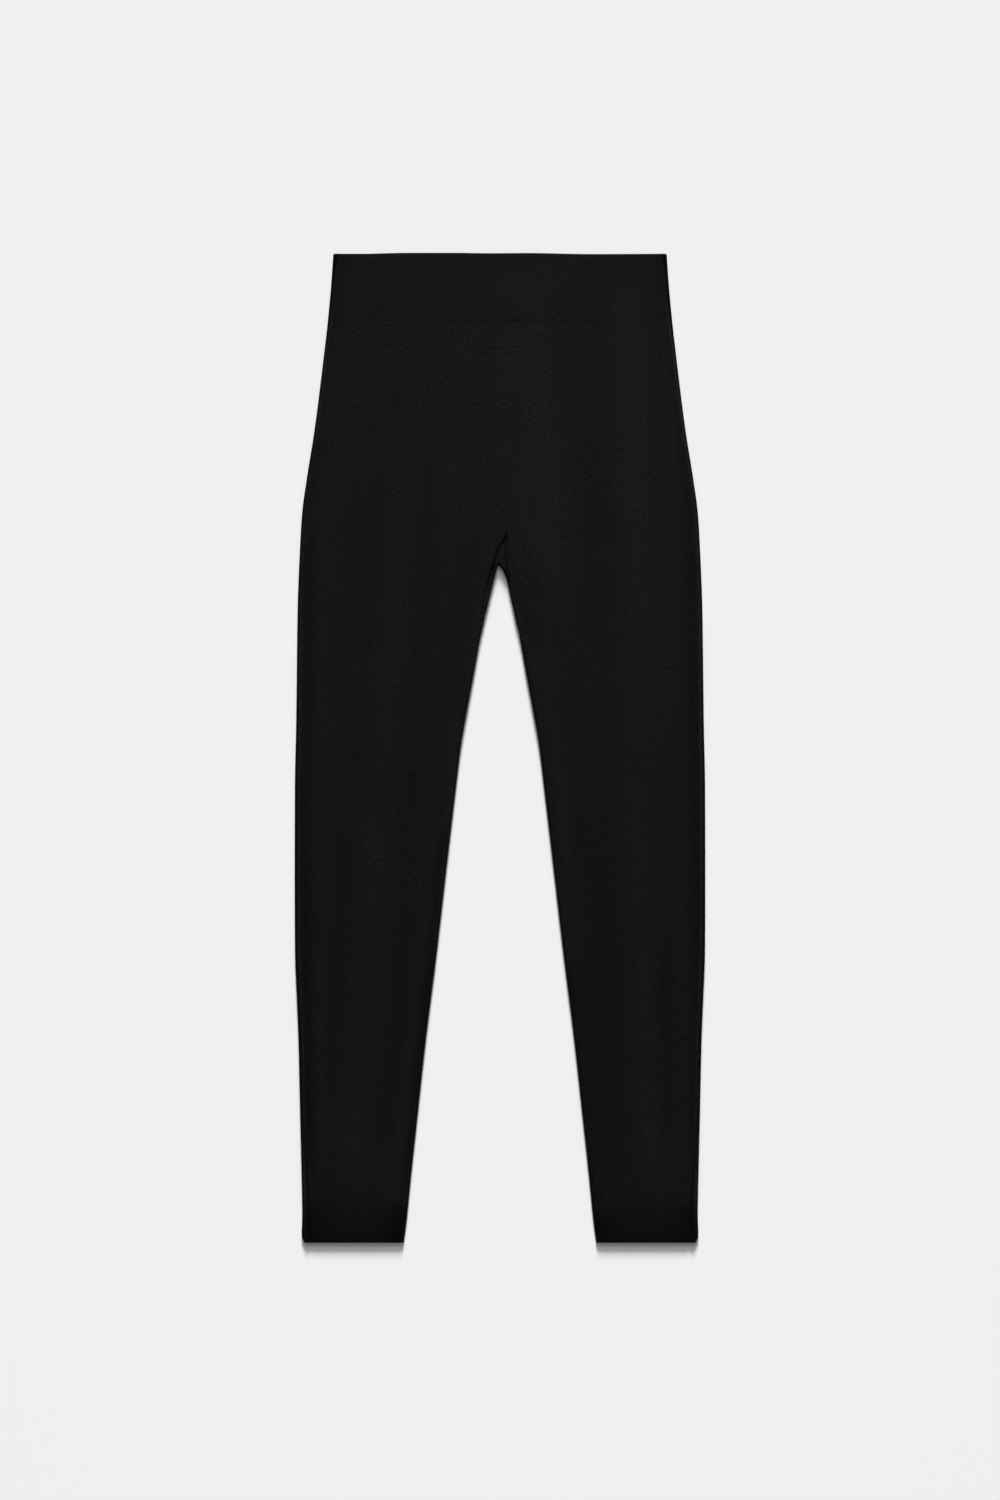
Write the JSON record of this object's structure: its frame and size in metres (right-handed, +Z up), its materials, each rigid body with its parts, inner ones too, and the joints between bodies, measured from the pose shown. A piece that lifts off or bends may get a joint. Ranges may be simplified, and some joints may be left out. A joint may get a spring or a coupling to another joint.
{
  "type": "leggings",
  "caption": "Plain high-waisted knit leggings with a wide doubled waistband and a narrow gusset, laid flat on their back with the legs a little apart.",
  "frame": {"origin": "middle of the footprint, on the surface that the leggings lie on", "axes": "+X to the right as the front is seen, +Y towards the waist, +Z up out of the front"},
  "size_m": [0.394, 0.95, 0.0064],
  "materials": {
    "body_knit": "matte black fine double knit",
    "band_knit": "matte black fine double knit, doubled"
  },
  "bodies": {
    "root": {"waistband_front": "band_knit", "waistband_back": "band_knit", "front_panel": "body_knit", "back_panel": "body_knit", "gusset": "body_knit"}
  },
  "joints": []
}
